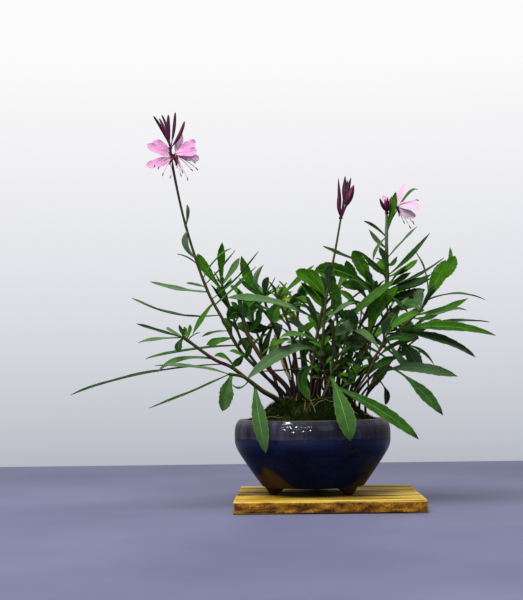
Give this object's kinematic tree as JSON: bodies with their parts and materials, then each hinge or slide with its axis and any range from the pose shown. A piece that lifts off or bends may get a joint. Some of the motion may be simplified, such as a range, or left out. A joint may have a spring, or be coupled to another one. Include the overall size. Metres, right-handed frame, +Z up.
{
  "type": "potted gaura",
  "caption": "Leafy gaura with pink flowers and dark buds, growing from a mossy mound in a glazed footed bowl that stands on a thin square wooden board.",
  "frame": {"origin": "on the underside of the board, under the axis of the bowl", "axes": "+Z up, +X to the right and +Y away from the viewer, as the picture shows the plant from the front"},
  "size_m": [0.2422, 0.1089, 0.2305],
  "materials": {
    "board_wood": "yellow ochre stained softwood with raised dark grain, worn upper edges and a mottled front edge, satin",
    "bowl_glaze": "glossy navy glaze, greyer at the shoulder, brown where it thins at the rim, the foot and low on the wall",
    "soil": "dark damp potting soil, matt",
    "moss": "thick olive green moss with brighter tips and some dry threads, matt",
    "leaf": "dark to fresh green leaves with a pale midrib, greyer below, satin; stems green above and dark red below",
    "dry_stalk": "pale tan dry stalk, matt",
    "petal": "orchid pink petals with darker veins and a paler heart, soft satin",
    "bud": "dark maroon buds with a purple middle tone, satin"
  },
  "bodies": {
    "root": {"board": "board_wood", "bowl": "bowl_glaze", "soil": "soil", "moss": "moss", "left_flower_stem": "leaf", "middle_flower_stem": "leaf", "right_flower_stem": "leaf", "low_left_shoot": "leaf", "left_front_shoot": "leaf", "left_inner_shoot": "leaf", "red_left_shoot": "leaf", "left_mid_shoot": "leaf", "inner_shoot": "leaf", "centre_shoot": "leaf", "centre_back_shoot": "leaf", "right_inner_shoot": "leaf", "red_right_shoot": "leaf", "right_front_shoot": "leaf", "low_right_shoot": "leaf", "right_red_side_shoot": "leaf", "front_shoot": "leaf", "back_left_shoot": "leaf", "back_inner_shoot": "leaf", "back_centre_shoot": "leaf", "back_mid_shoot": "leaf", "back_right_shoot": "leaf", "back_side_shoot": "leaf", "dry_stalk": "dry_stalk", "left_bloom_one": "petal", "left_bloom_two": "petal", "right_bloom": "petal", "left_bud_head": "bud", "middle_bud_head": "bud", "right_bud_head": "bud"}
  },
  "joints": []
}
